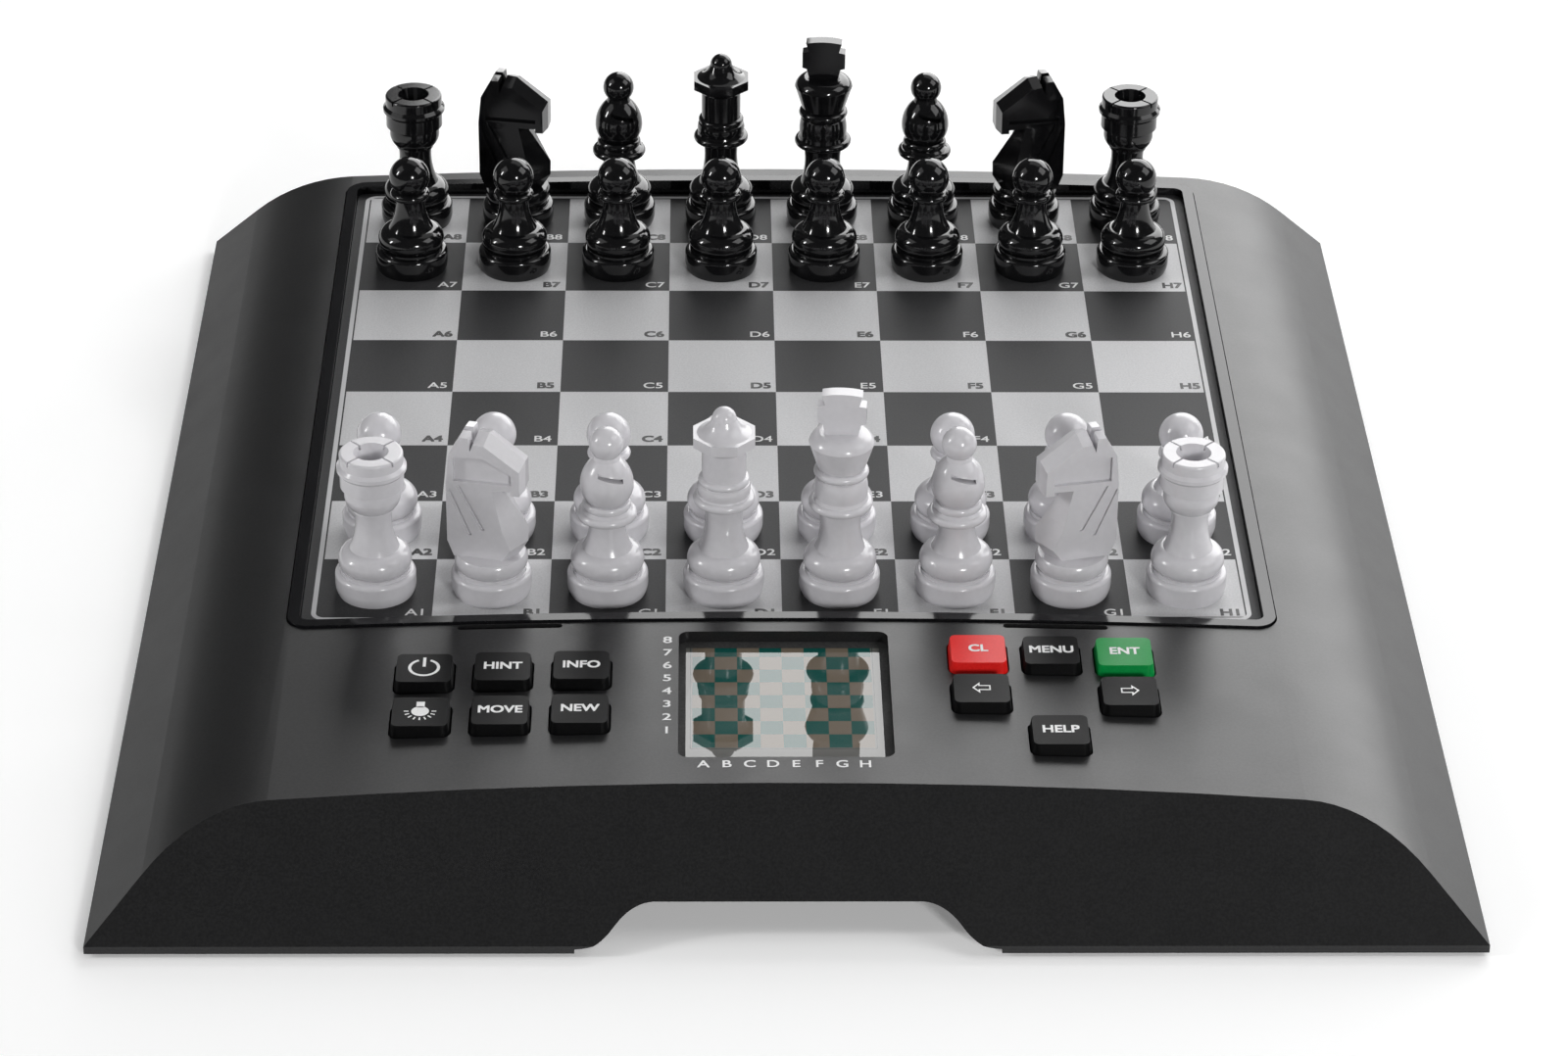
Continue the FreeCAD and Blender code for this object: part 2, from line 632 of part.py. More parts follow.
def make_electronics():
    plate = block("circuit_plate", "circuit_width", CIRCUIT_DEPTH, "circuit_thickness", y=CIRCUIT_Y,
                  z="circuit_height")
    chips = [block("chip", "chip_size", "chip_size", "chip_height", "%d * chip_size" % step, CIRCUIT_Y,
                   "circuit_height - chip_height") for step in (-2, 0, 2)]
    finished(fuse("main_circuit_board", [plate] + chips), "main_circuit_board")
    mats = []
    blocks = (("-left_keys_x", "left_keys_to_rim", "left_key_pitch_x", "left_key_pitch_y / 2", -1),
              ("right_keys_x", "right_keys_to_rim", "right_key_pitch_x", "right_key_pitch_y", 1))
    places = list(key_places())
    dome_top = "(%s - key_flange_height - key_travel - fit_gap)" % key_seat(OUTER_KEY_EDGE)
    for x, y, pitch_x, pitch_y, side in blocks:
        pad_depth = "2 * %s * %s + 2 * %s + mat_margin" % (PANEL_SHARE, pitch_y, DOME_RADIUS)
        pad = block("mat_pad", "2 * (%s + dome_radius + mat_margin)" % pitch_x, pad_depth, "mat_thickness",
                    x, "%s - %s * %s" % (PANEL_REAR, y, PANEL_SHARE), CIRCUIT_TOP)
        dome_height = "%s - %s" % (dome_top, CIRCUIT_TOP)
        domes = [rod("mat_dome", DOME_RADIUS, dome_height, key_x, key_y, CIRCUIT_TOP)
                 for name, key_x, key_y in places if number(key_x) * side > 0]
        mats.append(fuse("key_mat_side", [pad] + domes))
    finished(group("key_mat", mats), "key_mat")
    plug_level = "%s - ribbon_plug_height" % SENSOR_BOTTOM
    front = "(%s - recess_depth / 2)" % BOARD_Y
    rear_plug = block("ribbon_rear_plug", "ribbon_width", "ribbon_plug", "ribbon_plug_height", "ribbon_x",
                      "%s + ribbon_reach" % front, plug_level)
    landing = "(%s + %s / 2 - ribbon_plug / 2)" % (CIRCUIT_Y, CIRCUIT_DEPTH)
    plug_height = "%s - %s + ribbon_thickness" % (plug_level, CIRCUIT_TOP)
    front_plug = block("ribbon_front_plug", "ribbon_width", "ribbon_plug", plug_height, "ribbon_x", landing,
                       CIRCUIT_TOP)
    strip = block("ribbon_strip", "ribbon_width", "%s + ribbon_reach - %s" % (front, landing),
                  "ribbon_thickness", "ribbon_x", "(%s + ribbon_reach + %s) / 2" % (front, landing),
                  plug_level)
    finished(fuse("sensor_ribbon", [rear_plug, strip, front_plug]), "sensor_ribbon")
    finished(rod("buzzer", "buzzer_radius", "buzzer_height", "case_width / 2 - buzzer_inset",
                 "buzzer_to_front - case_depth / 2", FLOOR_LEVEL), "buzzer")


def make_batteries():
    cells, contacts = [], []
    for step in (-1, 0, 1):
        y = "%s + %d * (2 * cell_radius + cell_gap)" % (BAY_Y, step)
        cell = rod("cell", "cell_radius", "cell_length")
        cell.Placement = FreeCAD.Placement(Vector(), FreeCAD.Rotation(Vector(0, 1, 0), 90))
        cells.append(place(cell, "-cell_length / 2", y, CELL_Z))
        for sign in (-1, 1):
            plate_x = "%d * (%s - contact_plate) / 2" % (sign, BAY_LENGTH)
            plate = block("contact_plate", "contact_plate", "contact_width", "contact_width", plate_x, y,
                          "%s - contact_width / 2" % CELL_Z)
            spring = doc.addObject("Part::Cone", "contact_spring")
            bind(spring, "Radius1", "spring_root_radius")
            bind(spring, "Radius2", "spring_tip_radius")
            bind(spring, "Height", "contact_spring")
            spring.Placement = FreeCAD.Placement(Vector(), FreeCAD.Rotation(Vector(0, 1, 0), -90 * sign))
            place(spring, "%d * (cell_length / 2 + contact_spring)" % sign, y, CELL_Z)
            contacts.append(fuse("contact", [plate, spring]))
    finished(group("battery_cells", cells), "battery_cells")
    finished(group("battery_contacts", contacts), "battery_contacts")


def make_fixings():
    feet = []
    for sign_x in (-1, 1):
        for sign_y in (-1, 1):
            feet.append(rod("foot", "foot_radius", "foot_height",
                            "%d * (case_width / 2 - foot_inset)" % sign_x,
                            "%d * (case_depth / 2 - foot_inset / 2)" % sign_y))
    finished(group("rubber_feet", feet), "rubber_feet")
    screws = []
    for x, y in screw_places():
        head = rod("screw_head", "screw_head_radius", "screw_head_height", x, y, "foot_height")
        shank = rod("screw_shank", "screw_radius", "screw_length", x, y, "foot_height")
        screws.append(fuse("screw", [head, shank]))
    finished(group("case_screws", screws), "case_screws")


def new_body(label):
    body = doc.addObject("PartDesign::Body", label)
    return finished(body, label)


def plane_sketch(body, role, name, corners, offset="0"):
    sketch = body.newObject("Sketcher::SketchObject", name)
    plane = [item for item in body.Origin.OriginFeatures if item.Role == role][0]
    sketch.AttachmentSupport = [(plane, "")]
    sketch.MapMode = "FlatFace"
    bind(sketch, "AttachmentOffset.Base.z", offset)
    return trace(sketch, corners)


def push(body, kind, sketch, length, both_ways=False, reverse=False):
    feature = body.newObject("PartDesign::" + kind, sketch.Name + "_" + kind.lower())
    feature.Profile = sketch
    bind(feature, "Length", length)
    feature.Midplane = both_ways
    feature.Reversed = reverse
    return feature


def make_keys():
    for name, x, y in key_places():
        body = new_body("key_" + name)
        outer = "(abs(%s) + key_width / 2 + key_flange)" % x
        seat = key_seat(outer)
        flange = plane_sketch(body, "XY_Plane", name + "_flange", rounded(
            "key_width + 2 * key_flange", "%s + 2 * key_flange" % KEY_DEPTH, "key_corner + key_flange"))
        push(body, "Pad", flange, "key_flange_height")
        outline = rounded("key_width", KEY_DEPTH, "key_corner")
        cap = plane_sketch(body, "XY_Plane", name + "_cap", outline, "key_flange_height")
        skirt = "(%s - %s)" % (crown_at(x), seat)
        push(body, "Pad", cap, skirt)
        top = plane_sketch(body, "XY_Plane", name + "_top", outline, "key_flange_height + %s" % skirt)
        tapered = push(body, "Pad", top, "key_proud")
        bind(tapered, "TaperAngle", "-key_taper")
        place(body, x, y, "%s - key_flange_height" % seat)


# Bulges of the arcs in the chess pieces' outlines.
HALF_ROUND = 1.0
QUARTER_ROUND = math.tan(math.pi / 8)
BALL_ROUND = math.tan(math.radians(135) / 4)
FULL, SOFT, SLIGHT = 0.4, 0.2, 0.1
BULB_ROUND = 0.62
STEM_HOLLOW = -0.14
CROWN_HOLLOW = -0.2


def base_profile():
    """Foot and bulb that all the chess pieces share, from the axis out and up to the stem's root."""
    return [("0", "0", 0), ("base_foot_radius", "0", SLIGHT), ("base_radius", "base_height * 0.4", 0),
            ("base_radius", "base_height - bead_radius", FULL),
            ("base_radius - bead_radius", "base_height", 0), ("bulb_ring_radius", "base_height", 0),
            ("bulb_ring_radius", "base_height + bulb_ring_height", 0),
            ("bulb_root_radius", "base_height + bulb_ring_height", BULB_ROUND),
            ("stem_root_radius", "stem_root", STEM_HOLLOW)]


def bead(radius, level):
    """A half-round ring standing out from the stem."""
    return [("%s - bead_radius" % radius, "%s - bead_radius" % level, HALF_ROUND),
            ("%s - bead_radius" % radius, "%s + bead_radius" % level, 0)]


def ball(radius, level):
    """A ball on the axis, cut where it meets its neck."""
    side, drop = "%s * %r" % (radius, HALF_TURN_SHARE), "%s - %s * %r" % (level, radius, HALF_TURN_SHARE)
    return [(side, drop, BALL_ROUND), ("0", "%s + %s" % (level, radius), 0)]


def pawn_profile():
    neck = "pawn_collar - bead_radius"
    return (base_profile() + [("pawn_stem_radius", neck, 0)] + bead("pawn_collar_radius", "pawn_collar")
            + ball("pawn_head_radius", "pawn_head"))


def rook_profile():
    lip = "rook_stem_radius + rook_neck_lip"
    well_floor = "rook_height - rook_well_depth"
    return base_profile() + [
        ("rook_stem_radius", "rook_neck - rook_neck_lip", 0), (lip, "rook_neck - rook_neck_lip", 0),
        (lip, "rook_neck", SOFT), ("rook_cushion_radius", "rook_cushion", SLIGHT),
        ("rook_cushion_top_radius", "rook_step", 0), ("rook_step_radius", "rook_step", 0),
        ("rook_step_radius", "rook_flange - 2 * rook_flange_rise", 0),
        ("rook_flange_radius", "rook_flange - rook_flange_rise", 0), ("rook_flange_radius", "rook_flange", 0),
        ("rook_top_radius", "rook_flange + rook_flange_rise", 0),
        ("rook_top_radius", "rook_height - bead_radius / 2", FULL),
        ("rook_top_radius - bead_radius / 2", "rook_height", 0), ("rook_well_radius", "rook_height", 0),
        ("rook_well_foot_radius", well_floor, 0), ("0", well_floor, 0)]


def bishop_profile():
    ring_top = "bishop_ring + bishop_ring_height"
    return (base_profile() + [("bishop_stem_radius", "bishop_collar - bead_radius - stem_gap", 0)]
            + bead("bishop_collar_radius", "bishop_collar")
            + [("bishop_ring_radius", "bishop_ring", HALF_ROUND / 2), ("bishop_ring_radius", ring_top, 0),
               ("bishop_head_root_radius", ring_top, SOFT), ("bishop_head_radius", "bishop_head", SOFT),
               ("bishop_neck_radius", "bishop_neck", 0)]
            + ball("bishop_ball_radius", "bishop_ball"))


def queen_profile():
    band_top = "queen_band + queen_band_height"
    ring_top = "queen_ring + queen_ring_height"
    crown_top = "queen_crown + queen_crown_height"
    return (base_profile() + [("queen_stem_radius", "queen_collar - bead_radius", 0)]
            + bead("queen_collar_radius", "queen_collar")
            + [("queen_band_radius", "queen_band", SOFT), ("queen_band_radius", band_top, 0),
               ("queen_ring_radius", "queen_ring", HALF_ROUND / 2), ("queen_ring_radius", ring_top, 0),
               ("queen_column_radius", "queen_column", 0),
               ("queen_column_radius", "queen_crown - queen_crown_flare", 0),
               ("queen_crown_root_radius", "queen_crown + glue_gap", 0),
               ("queen_crown_root_radius", crown_top, CROWN_HOLLOW),
               ("queen_finial_root_radius", "queen_finial", 0),
               ("queen_finial_radius", "queen_height - queen_finial_radius", QUARTER_ROUND),
               ("0", "queen_height", 0)])


def king_profile():
    return (base_profile() + [("king_stem_radius", "king_collar - bead_radius - stem_gap", 0)]
            + bead("king_collar_radius", "king_collar")
            + [("king_band_radius", "king_band", SLIGHT),
               ("king_band_top_radius", "king_bead - king_bead_gap", 0)]
            + bead("king_bead_radius", "king_bead")
            + [("king_cup_root_radius", "king_bead + king_bead_gap", 0),
               ("king_cup_radius", "king_cup", FULL), ("king_cup_top_radius", "king_cross_root", 0),
               ("0", "king_cross_root", 0)])


def knight_profile():
    return base_profile()[:-1] + [("stem_root_radius", "stem_root", 0), ("0", "stem_root", 0)]


def turn_piece(body, name, corners):
    sketch = plane_sketch(body, "XZ_Plane", name + "_profile", corners)
    feature = body.newObject("PartDesign::Revolution", name + "_turned")
    feature.Profile = sketch
    feature.ReferenceAxis = (sketch, ["V_Axis"])
    feature.Angle = 360
    return feature


def rook_details(body, name):
    """Two crossed slits over the top ring."""
    reach = "4 * rook_top_radius"
    for turn, width, depth in (("a", "rook_slit", reach), ("b", reach, "rook_slit")):
        slit = rounded(width, depth, "rook_slit / 5")
        sketch = plane_sketch(body, "XY_Plane", name + "_slit_" + turn, slit, "rook_height - rook_slit_depth")
        push(body, "Pocket", sketch, "2 * rook_slit_depth", reverse=True)


def bishop_details(body, name):
    """A slanting cut into the head."""
    corners = [("-bishop_slit_half", "bishop_slit_high", 0), ("bishop_slit_half", "bishop_slit_low", 0),
               ("bishop_slit_half", "bishop_slit_low + bishop_slit", 0),
               ("-bishop_slit_half", "bishop_slit_high + bishop_slit", 0)]
    sketch = plane_sketch(body, "XZ_Plane", name + "_slit", corners, "bishop_head_radius / 2")
    push(body, "Pocket", sketch, "bishop_head_radius", reverse=True)


CROWN_SIDES = 8
CROWN_TURN = 360 / CROWN_SIDES


def queen_details(body, name):
    """An eight-sided crown."""
    turns = [math.radians(CROWN_TURN * (step + 0.5)) for step in range(CROWN_SIDES)]
    corners = [("queen_crown_radius * %.5f" % math.cos(turn), "queen_crown_radius * %.5f" % math.sin(turn), 0)
               for turn in turns]
    sketch = plane_sketch(body, "XY_Plane", name + "_crown", corners, "queen_crown")
    push(body, "Pad", sketch, "queen_crown_height")


def king_details(body, name):
    """A flat cross with flared arms."""
    arm_foot = "king_cross_arm - king_cross_arm_rise"
    arm_top = "king_cross_arm + king_cross_arm_rise"
    right = [("king_cross_root_half", "king_cross_root - glue_gap", 0),
             ("king_cross_low_half", "%s - king_cross_notch" % arm_foot, 0), ("king_cross_half", arm_foot, 0),
             ("king_cross_half", arm_top, 0), ("king_cross_neck_half", "%s + king_cross_notch" % arm_top, 0),
             ("king_cross_top_half", "king_height - king_cross_notch", SLIGHT)]
    left = [("-(%s)" % x, y, 0) for x, y, bulge in reversed(right)]
    sketch = plane_sketch(body, "XZ_Plane", name + "_cross", right + left)
    push(body, "Pad", sketch, "king_cross_thickness", both_ways=True)


# Outline of the horse's head as shares of the room above its base: across from -1 to 1, and up from 0 to 1.
HORSE = [(-0.74, 0.0), (0.39, 0.0), (0.86, 0.07), (0.92, 0.24), (0.37, 0.52), (0.60, 0.48), (0.90, 0.50),
         (0.94, 0.73), (0.12, 1.0), (-0.16, 1.0), (-0.60, 0.92), (-0.96, 0.72), (-1.0, 0.57), (-1.0, 0.16)]
CHEEK = [(-0.78, 0.60), (0.60, 0.56), (0.64, 0.66), (-0.04, 0.80), (-0.76, 0.80)]
MANE = [((-0.60, 0.57), (-0.02, 0.20)), ((-0.94, 0.54), (-0.34, 0.14))]


def horse_point(across, up):
    return ("%g * base_radius" % across,
            "stem_root - knight_sink + %g * (knight_height - stem_root + knight_sink)" % up)


def knight_details(body, name):
    """A plate-like horse's head with sunk cheeks, mane grooves and split ears."""
    outline = [horse_point(*point) + (0,) for point in HORSE]
    sketch = plane_sketch(body, "XZ_Plane", name + "_head", outline)
    push(body, "Pad", sketch, "knight_thickness", both_ways=True)
    for side, sign in (("near", 1), ("far", -1)):
        panel = [horse_point(*point) + (0,) for point in CHEEK]
        cheek = plane_sketch(body, "XZ_Plane", "%s_%s_cheek" % (name, side), panel,
                             "%d * (knight_thickness / 2 - knight_panel_sunk)" % sign)
        push(body, "Pocket", cheek, "knight_thickness", reverse=sign > 0)
        for index, (start, end) in enumerate(MANE):
            first, last = horse_point(*start), horse_point(*end)
            wide = "knight_groove / 2"
            corners = [("%s - %s" % (first[0], wide), first[1], 0), ("%s - %s" % (last[0], wide), last[1], 0),
                       ("%s + %s" % (last[0], wide), last[1], 0), ("%s + %s" % (first[0], wide), first[1], 0)]
            groove = plane_sketch(body, "XZ_Plane", "%s_%s_mane_%d" % (name, side, index), corners,
                                  "%d * (knight_thickness / 2 - knight_groove_depth)" % sign)
            push(body, "Pocket", groove, "knight_thickness", reverse=sign > 0)
    split = [("-2 * base_radius", "-knight_ear_gap / 2", 0), ("knight_ear_front", "-knight_ear_gap / 2", 0),
             ("knight_ear_front", "knight_ear_gap / 2", 0), ("-2 * base_radius", "knight_ear_gap / 2", 0)]
    ears = plane_sketch(body, "XY_Plane", name + "_ears", split, "knight_height - knight_ear_depth")
    push(body, "Pocket", ears, "knight_height", reverse=True)


PIECES = {"pawn": (pawn_profile, None), "rook": (rook_profile, rook_details),
          "knight": (knight_profile, knight_details), "bishop": (bishop_profile, bishop_details),
          "queen": (queen_profile, queen_details), "king": (king_profile, king_details)}
BACK_RANK = ["rook", "knight", "bishop", "queen", "king", "bishop", "knight", "rook"]
FACING = {"rook": 45, "knight": -14, "king": -4, "bishop": 12}


def make_chess_piece(colour, kind, column, rank):
    label = "%s_%s_%s" % (colour, kind, "abcdefgh"[column])
    body = new_body(label)
    profile, details = PIECES[kind]
    turn_piece(body, label, profile())
    if details:
        doc.recompute()
        details(body, label)
    turn = FACING.get(kind, 0)
    if kind == "knight" and column > 4:
        turn = 180 - turn
    body.Placement = FreeCAD.Placement(Vector(), FreeCAD.Rotation(Vector(0, 0, 1), turn))
    place(body, "%g * square" % (column - 3.5), "%s + %g * square" % (BOARD_Y, rank - 4.5), "board_height")


def make_chess_set():
    for column, kind in enumerate(BACK_RANK):
        make_chess_piece("white", kind, column, 1)
        make_chess_piece("white", "pawn", column, 2)
        make_chess_piece("black", "pawn", column, 7)
        make_chess_piece("black", kind, column, 8)


def write_parts():
    doc.recompute()
    broken = [item.Name for item in doc.Objects if "Invalid" in item.State or "Error" in item.State]
    if broken:
        raise RuntimeError("failed objects: " + ", ".join(broken))
    for item in sub_parts:
        if item.Shape.isNull() or not item.Shape.isValid() or not item.Shape.Solids:
            raise RuntimeError("bad shape: " + item.Label)
    os.makedirs("parts", exist_ok=True)
    for item in sub_parts:
        item.Shape.exportStep("parts/%s.step" % item.Label)


make_top_shell()
make_bottom_shell()
make_battery_door()
make_board()
make_display()
make_electronics()
make_batteries()
make_fixings()
make_keys()
make_chess_set()
write_parts()
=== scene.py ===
import math

import bmesh
import bpy
from mathutils import Matrix, Vector


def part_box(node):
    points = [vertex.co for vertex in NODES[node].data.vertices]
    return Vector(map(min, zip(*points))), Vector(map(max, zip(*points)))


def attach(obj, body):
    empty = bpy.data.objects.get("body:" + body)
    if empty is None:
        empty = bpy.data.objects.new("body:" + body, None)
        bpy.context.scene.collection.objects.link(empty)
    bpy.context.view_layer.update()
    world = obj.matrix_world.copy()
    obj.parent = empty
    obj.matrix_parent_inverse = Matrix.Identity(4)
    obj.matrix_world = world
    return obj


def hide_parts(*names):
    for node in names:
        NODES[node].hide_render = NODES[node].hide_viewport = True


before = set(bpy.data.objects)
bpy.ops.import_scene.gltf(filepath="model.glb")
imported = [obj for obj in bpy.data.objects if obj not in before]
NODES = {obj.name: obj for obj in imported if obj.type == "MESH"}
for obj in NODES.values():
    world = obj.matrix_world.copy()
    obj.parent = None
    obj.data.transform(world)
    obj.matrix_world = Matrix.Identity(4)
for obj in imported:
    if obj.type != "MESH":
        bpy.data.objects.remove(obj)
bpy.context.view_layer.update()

# Electronic chess computer: looks, carved knights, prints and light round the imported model.
# Lengths are in metres unless a comment says otherwise. X runs to the right, Y to the back and Z up.

# Board: its squares, and the printed fields and white line as half sizes from the middle
SQUARE = 0.0232
BOARD_Y = 0.0401
BOARD_Z = 0.0184
FILES = "ABCDEFGH"
MIDDLE_SQUARE = 3.5
FIELDS_HALF = (3.98 * SQUARE, 3.95 * SQUARE)
FIELDS_CORNER = 0.0004
LINE_HALF = (4.015 * SQUARE, 3.985 * SQUARE)
LINE_CORNER = 0.0022
LINE_HALF_WIDTH = 0.00048
BOARD_DARK = ((0.020, 0.020, 0.021), (0.044, 0.044, 0.046))
BOARD_PALE = ((0.52, 0.52, 0.53), (0.61, 0.61, 0.62))
BOARD_MARGIN = (0.03, 0.03, 0.032)
BOARD_LINE = (0.62, 0.62, 0.63)
BOARD_GRAIN = 2600.0
BOARD_SPECK = (0.3, 0.7)
BOARD_ROUGH = (0.5, 0.62)
BOARD_SPECULAR = 0.2
BOARD_BUMP = (0.1, 0.00003)

# Display: its fields and the thin line round them as half sizes, and the corners of the glass in sight
DISPLAY_CENTRE = (-0.0004, -0.0814)
DISPLAY_PITCH = (0.00436, 0.0046)
DISPLAY_HALF = (0.01744, 0.0184)
DISPLAY_CORNER = 0.0001
DISPLAY_LINE_HALF = (0.0178, 0.01876)
DISPLAY_LINE_CORNER = 0.0002
DISPLAY_LINE_HALF_WIDTH = 0.0001
DISPLAY_GREEN = (0.0, 0.070, 0.058)
DISPLAY_BROWN = (0.155, 0.125, 0.092)
DISPLAY_GROUND = (0.13, 0.13, 0.12)
DISPLAY_LINE = (0.05, 0.06, 0.055)
DISPLAY_SPECK = (0.25, 0.26, 0.24)
DISPLAY_SPECK_SHARE = 0.03
DISPLAY_GRAIN = 4000.0
DISPLAY_DETAIL = 1.0
GLASS_COAT_ROUGH = 0.015
GLASS_IOR = 1.5
GLASS_LOW = (-0.0191, -0.1040)
GLASS_HIGH = (0.0188, -0.0644)

# Grain of the materials, and the Mix node's sockets for colours
FINE_DETAIL = 2.0
BROAD_DETAIL = 3.0
BROAD_SHARE = 0.05
MIX_INPUTS = (0, 6, 7)
MIX_RESULT = 2

# Soft edges
WELD_REACH = 0.000002
SHARP_ANGLE = 30.0
BEVEL_STEPS = 2
KEY_ROUNDING = 0.0005
KNIGHT_ROUNDING = 0.0003

# Carved knights, in millimetres: (across, up) from the middle of the base
MILLIMETRE = 0.001
HEAD_NEAR = [(-6.7, 9.0), (3.1, 9.0), (5.0, 11.6), (3.3, 15.9), (1.4, 25.0), (5.3, 25.2), (5.3, 24.3),
             (7.1, 24.4), (7.1, 29.8), (0.0, 34.8), (-2.2, 35.0), (-2.9, 33.2), (-3.2, 36.2), (-4.9, 36.2),
             (-7.3, 31.8), (-8.0, 25.4), (-8.0, 12.4)]
HEAD_MIDDLE = [(-6.9, 9.0), (5.6, 9.0), (7.8, 12.6), (7.9, 16.0), (1.9, 24.8), (5.3, 25.0), (5.3, 24.1),
               (7.4, 24.2), (7.5, 30.8), (0.3, 36.2), (-1.9, 36.4), (-2.9, 33.2), (-3.2, 36.6), (-4.9, 36.6),
               (-7.5, 31.8), (-8.1, 25.4), (-8.1, 12.4)]
HEAD_HALF = 3.5
CHEEK = [(-6.4, 26.2), (5.4, 26.6), (5.4, 28.8), (-0.6, 32.0), (-6.4, 31.6)]
CHEEK_SUNK = 0.9
MANE = [[(-0.9, 15.6), (-0.2, 15.6), (-5.1, 25.2), (-5.8, 25.2)],
        [(-3.6, 14.2), (-2.9, 14.2), (-7.1, 24.2), (-7.8, 24.2)]]
MANE_SUNK = 0.5
EAR_GAP_LOW = (-9.0, 33.2)
EAR_GAP_HIGH = (-2.95, 40.0)
EAR_GAP_HALF = 0.8
KNIGHT_BASE_TOP = 9.15
KNIGHT_FILES = "bg"
KNIGHT_TURN = {"b": -14.0, "g": 194.0}
HOME_RANKS = {"white": 0, "black": 7}

# Prints: letters as size, stretch and boldness, the boldness as a share of the size
PRINT_LIFT = 0.00003
INK_LAYER = 0.000006
LETTER_STEPS = 6
BOARD_LETTER = (0.0034, 1.08)
BOLD_ON_PALE = 0.042
BOLD_ON_DARK = 0.012
BOARD_LABEL_SHIFT = Vector((0.36 * SQUARE, -0.385 * SQUARE, PRINT_LIFT))
RANK_LETTER = (0.0033, 1.15, 0.015)
FILE_LETTER = (0.0033, 1.05, 0.015)
RANK_LABEL_X = -0.0227
TOP_RANK_LABEL_Y = -0.0653
FIRST_FILE_LABEL_X = -0.0157
FILE_LABEL_Y = -0.10925
CROWN_RADIUS = 2.3
KEY_LETTER = (0.0034, 0.94, 0.028)
KEY_WORDS = {"hint": "HINT", "info": "INFO", "move": "MOVE", "new": "NEW", "clear": "CL", "menu": "MENU",
             "enter": "ENT", "help": "HELP"}
KEY_PRINT_SHIFT = 0.0001
ARC_STEPS = 24
POWER_RING = (0.0025, 0.0031)
POWER_OPENING = 24.0
POWER_BAR_LOW = (-0.0003, 0.0003)
POWER_BAR_HIGH = (0.0003, 0.0036)
SOCKET_LOW = (-0.0008, 0.0013)
SOCKET_HIGH = (0.0008, 0.0033)
BULB_RADIUS = 0.0017
BULB_SIDES = 32
RAYS = 9
RAY_STEP = 22.5
RAY_REACH = (0.0022, 0.0031)
RAY_HALF_WIDTH = 0.00016
ARROW_OUTER = [(-0.0016, 0.0), (-0.0003, 0.0014), (-0.0003, 0.00065), (0.0015, 0.00065), (0.0015, -0.00065),
               (-0.0003, -0.00065), (-0.0003, -0.0014)]
ARROW_INNER = [(-0.00122, 0.0), (-0.00053, 0.00077), (-0.00053, 0.00042), (0.00127, 0.00042),
               (0.00127, -0.00042), (-0.00053, -0.00042), (-0.00053, -0.00077)]
ARROW_WIDER = 1.15
ARROW_TALLER = 1.35

# Camera, solved from the board's grid in the photograph
SENSOR_WIDTH = 36.0
LENS = 109.53
CLIP = (0.05, 20.0)
CAMERA_PLACE = (-0.01654, -0.85713, 0.51929)
CAMERA_RIGHT = Vector((0.999841, -0.015046, 0.009539))
CAMERA_DOWN = Vector((0.000488, -0.512146, -0.858898))
CAMERA_AHEAD = Vector((0.017808, 0.858766, -0.512058))

# Floor and light; each lamp has a direction and distance from the board, a width, a depth and a radiance
FLOOR_HALF = 4.0
FLOOR_COLOUR = (0.9, 0.9, 0.9, 1.0)
FLOOR_GLOW = 0.2
WORLD_COLOUR = (0.07, 0.07, 0.07, 1.0)
WHITE_LIGHT = (1.0, 1.0, 1.0, 1.0)
LAMPS = {"back_box": ((0.41, 0.81, 0.42), 1.3, 1.5, 0.9, 4.5),
         "top_box": ((0.25, 0.55, 0.8), 1.8, 1.4, 1.4, 0.6),
         "left_box": ((-0.8, -0.1, 0.7), 1.4, 0.8, 0.8, 0.9),
         "right_box": ((0.8, -0.1, 0.7), 1.4, 0.8, 0.8, 2.3),
         "front_lamp": ((0.334, -0.88, 0.334), 1.5, 0.2, 0.2, 70.0),
         "left_strip": ((-0.895, -0.163, 0.40), 1.4, 0.1, 0.4, 40.0)}


def add_object(name, data):
    item = bpy.data.objects.new(name, data)
    bpy.context.scene.collection.objects.link(item)
    return item


def final_mesh(holder):
    """The object's shape with its modifiers, as a new mesh."""
    bpy.context.view_layer.update()
    return bpy.data.meshes.new_from_object(holder.evaluated_get(bpy.context.evaluated_depsgraph_get()))


def square_middle(column, rank):
    return Vector(((column - MIDDLE_SQUARE) * SQUARE, BOARD_Y + (rank - MIDDLE_SQUARE) * SQUARE, BOARD_Z))


# Node materials

def new_material(name):
    material = bpy.data.materials.new(name)
    material.use_nodes = True
    return material, material.node_tree, material.node_tree.nodes["Principled BSDF"]


def link(tree, source, target):
    tree.links.new(source, target)


def add(tree, kind, **settings):
    item = tree.nodes.new("ShaderNode" + kind)
    for name, value in settings.items():
        setattr(item, name, value)
    return item


def math_node(tree, operation, first, second=None):
    item = add(tree, "Math", operation=operation)
    for socket, value in zip(item.inputs, (first, second)):
        if value is None:
            continue
        if isinstance(value, (int, float)):
            socket.default_value = value
        else:
            link(tree, value, socket)
    return item.outputs[0]


def mix_colour(tree, share, first, second):
    item = add(tree, "Mix", data_type="RGBA")
    sockets = [item.inputs[index] for index in MIX_INPUTS]
    for socket, value in zip(sockets, (share, first, second)):
        if isinstance(value, (tuple, list)):
            socket.default_value = (value[0], value[1], value[2], 1.0)
        else:
            link(tree, value, socket)
    return item.outputs[MIX_RESULT]


def noise(tree, scale, detail):
    coordinates = add(tree, "TexCoord")
    texture = add(tree, "TexNoise")
    texture.inputs["Scale"].default_value = scale
    texture.inputs["Detail"].default_value = detail
    link(tree, coordinates.outputs["Object"], texture.inputs["Vector"])
    return texture.outputs["Fac"]


